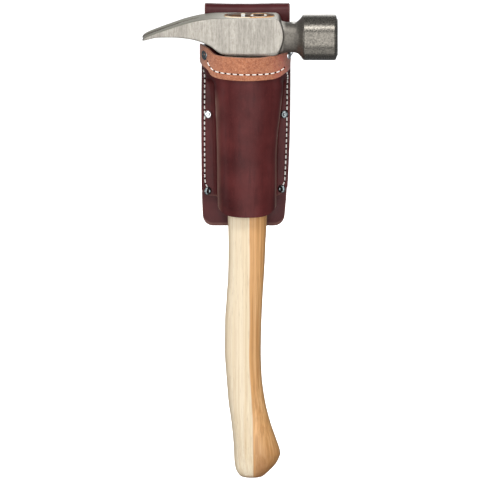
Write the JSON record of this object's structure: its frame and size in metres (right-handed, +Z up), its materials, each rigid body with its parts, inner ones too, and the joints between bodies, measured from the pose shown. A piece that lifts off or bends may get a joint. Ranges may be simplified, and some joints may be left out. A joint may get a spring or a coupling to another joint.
{
  "type": "framing hammer in belt holster",
  "caption": "Straight-claw framing hammer with a curved wooden axe-pattern handle, seated head-up in a riveted leather belt holster, and drawn out upwards.",
  "frame": {"origin": "middle of the belt tunnel, at its top, where the belt's upper edge bears", "axes": "+Z up along the hanging hammer, +X along the belt towards the hammer's striking face, -Y away from the wearer, so the pocket's front faces -Y"},
  "size_m": [0.1866, 0.057, 0.4598],
  "materials": {
    "forged_steel": "ground cheeks with vertical brush marks, darker forged neck and claw",
    "hickory": "pale sapwood and darker heartwood, thin lacquer",
    "wedge_wood": "oil-stained end grain",
    "wedge_steel": "bright zinc",
    "magnet": "satin plated",
    "burgundy_leather": "smooth dyed grain, soft sheen",
    "rough_out_leather": "natural tan flesh side, matt",
    "thread": "waxed twisted white thread",
    "nickel": "bright nickel plate"
  },
  "bodies": {
    "holster": {"back_panel": "burgundy_leather", "pocket": "burgundy_leather", "mouth_band": "rough_out_leather", "left_seam": "thread", "right_seam": "thread", "mouth_seam": "thread", "upper_left_rivet": "nickel", "upper_left_cap": "nickel", "upper_right_rivet": "nickel", "upper_right_cap": "nickel", "middle_left_rivet": "nickel", "middle_left_cap": "nickel", "middle_right_rivet": "nickel", "middle_right_cap": "nickel", "lower_left_rivet": "nickel", "lower_left_cap": "nickel", "lower_right_rivet": "nickel", "lower_right_cap": "nickel"},
    "hammer": {"hammer_head": "forged_steel", "handle": "hickory", "wood_wedge": "wedge_wood", "cross_wedge": "wedge_steel", "ring_wedge": "wedge_steel", "nail_magnet": "magnet"}
  },
  "joints": [
    {"name": "hammer_draw", "type": "slide", "parent": "holster", "child": "hammer", "axis": [-0.026, 0, 0.9997], "range_m": [0, 0.43]}
  ]
}
